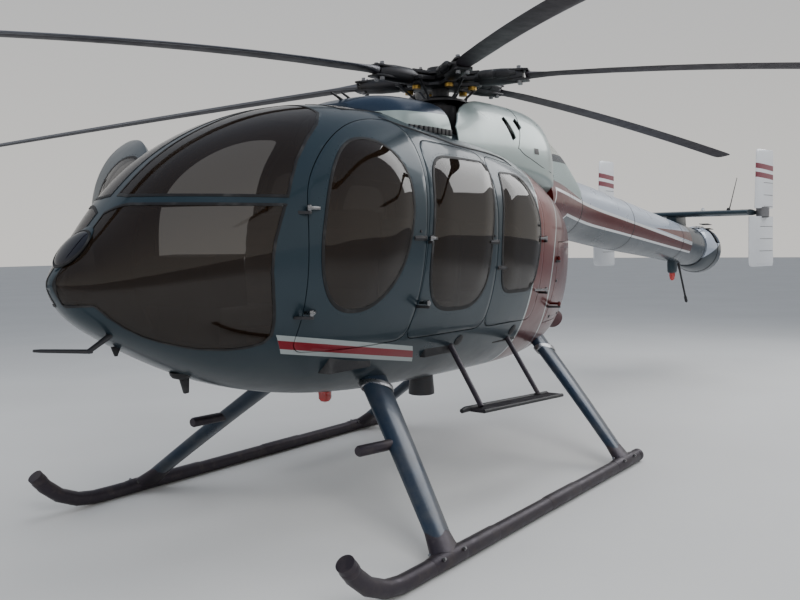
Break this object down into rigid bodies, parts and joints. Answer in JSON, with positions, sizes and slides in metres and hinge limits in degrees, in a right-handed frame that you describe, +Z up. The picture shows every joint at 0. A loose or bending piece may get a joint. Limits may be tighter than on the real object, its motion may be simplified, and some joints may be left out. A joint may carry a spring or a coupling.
{
  "type": "helicopter",
  "caption": "Light turbine helicopter on skids with a six-blade rotor, an egg-shaped cabin with side doors, and a ducted tail boom with a turning thruster and twin fins.",
  "frame": {"origin": "middle of the ground that the whole helicopter covers, rotor and tail included, at the skids' lowest line", "axes": "+X towards the nose, +Y to the helicopter's left, +Z up"},
  "size_m": [10.1206, 7.9928, 2.853],
  "materials": {
    "body_paint": "dark slate-blue metallic gloss",
    "fairing_paint": "light grey-green gloss",
    "boom_paint": "silver, red and dark blue gloss stripes",
    "gear_paint": "dark blue gloss",
    "blade_paint": "worn dark grey",
    "tinted_glass": "bronze tint",
    "dark_metal": "near-black satin",
    "bare_metal": "satin",
    "step_black": "black satin",
    "seat_leather": "soft grain",
    "fin_paint": "white gloss with red stripes",
    "cover_red": "dark red",
    "wire_mesh": "fine mesh"
  },
  "bodies": {
    "airframe": {"cabin_shell": "body_paint", "tailplane": "body_paint", "nose_lens": "dark_metal", "instrument_panel": "dark_metal", "mast_housing": "dark_metal", "windshield_upper_left": "tinted_glass", "windshield_lower_left": "tinted_glass", "skylight_left": "tinted_glass", "seat_front_left": "seat_leather", "landing_gear_left": "gear_paint", "boarding_step_left": "step_black", "windshield_upper_right": "tinted_glass", "windshield_lower_right": "tinted_glass", "skylight_right": "tinted_glass", "seat_front_right": "seat_leather", "landing_gear_right": "gear_paint", "boarding_step_right": "step_black", "bench_mid": "seat_leather", "bench_aft": "seat_leather", "engine_block": "bare_metal", "exhaust_pipe": "cover_red", "tail_boom": "boom_paint", "roof_fairing": "fairing_paint", "engine_fairing": "fairing_paint", "inlet_screen": "wire_mesh"},
    "rotor": {"rotor_hub": "dark_metal", "blade_1": "blade_paint", "blade_2": "blade_paint", "blade_3": "blade_paint", "blade_4": "blade_paint", "blade_5": "blade_paint", "blade_6": "blade_paint"},
    "thruster": {"thruster_can": "body_paint"},
    "fin_left": {"fin_left": "fin_paint"},
    "engine_door_left": {"engine_door_left": "body_paint"},
    "door_front_left": {"door_front_left": "body_paint", "window_front_left": "tinted_glass"},
    "door_mid_left": {"door_mid_left": "body_paint", "window_mid_left": "tinted_glass"},
    "door_aft_left": {"door_aft_left": "body_paint", "window_aft_left": "tinted_glass"},
    "fin_right": {"fin_right": "fin_paint"},
    "engine_door_right": {"engine_door_right": "body_paint"},
    "door_front_right": {"door_front_right": "body_paint", "window_front_right": "tinted_glass"},
    "door_mid_right": {"door_mid_right": "body_paint", "window_mid_right": "tinted_glass"},
    "door_aft_right": {"door_aft_right": "body_paint", "window_aft_right": "tinted_glass"}
  },
  "joints": [
    {"name": "rotor_spin", "type": "hinge", "parent": "airframe", "child": "rotor", "pos_m": [0.93468, 0, 2.757], "axis": [0, 0, 1], "continuous": true},
    {"name": "door_front_left_hinge", "type": "hinge", "parent": "airframe", "child": "door_front_left", "pos_m": [3.01668, 0.628, 1.5], "axis": [0, 0, -1], "range_deg": [0, 85]},
    {"name": "door_mid_left_hinge", "type": "hinge", "parent": "airframe", "child": "door_mid_left", "pos_m": [2.12018, 0.727, 1.6], "axis": [0.1093, 0, -0.994], "range_deg": [0, 85]},
    {"name": "door_aft_left_hinge", "type": "hinge", "parent": "airframe", "child": "door_aft_left", "pos_m": [0.63068, 0.684, 1.5], "axis": [0, 0, 1], "range_deg": [0, 85]},
    {"name": "engine_door_left_hinge", "type": "hinge", "parent": "airframe", "child": "engine_door_left", "pos_m": [0.28868, 0.616, 1.2], "axis": [0, 0, -1], "range_deg": [0, 80]},
    {"name": "door_front_right_hinge", "type": "hinge", "parent": "airframe", "child": "door_front_right", "pos_m": [3.01668, -0.628, 1.5], "axis": [0, 0, 1], "range_deg": [-72, 13]},
    {"name": "door_mid_right_hinge", "type": "hinge", "parent": "airframe", "child": "door_mid_right", "pos_m": [2.12018, -0.727, 1.6], "axis": [-0.1093, 0, 0.994], "range_deg": [0, 85]},
    {"name": "door_aft_right_hinge", "type": "hinge", "parent": "airframe", "child": "door_aft_right", "pos_m": [0.63068, -0.684, 1.5], "axis": [0, 0, -1], "range_deg": [0, 85]},
    {"name": "engine_door_right_hinge", "type": "hinge", "parent": "airframe", "child": "engine_door_right", "pos_m": [0.28868, -0.616, 1.2], "axis": [0, 0, 1], "range_deg": [0, 80]},
    {"name": "thruster_turn", "type": "hinge", "parent": "airframe", "child": "thruster", "pos_m": [-4.51132, 0, 1.519], "axis": [-0.9942, 0, -0.1072], "range_deg": [-90, 90]},
    {"name": "fin_left_turn", "type": "hinge", "parent": "airframe", "child": "fin_left", "pos_m": [-4.23132, 0.955, 1.905], "axis": [0, 0, 1], "range_deg": [-15, 34]},
    {"name": "fin_right_turn", "type": "hinge", "parent": "airframe", "child": "fin_right", "pos_m": [-4.23132, -0.955, 1.905], "axis": [0, 0, 1], "range_deg": [-20, 20]}
  ]
}
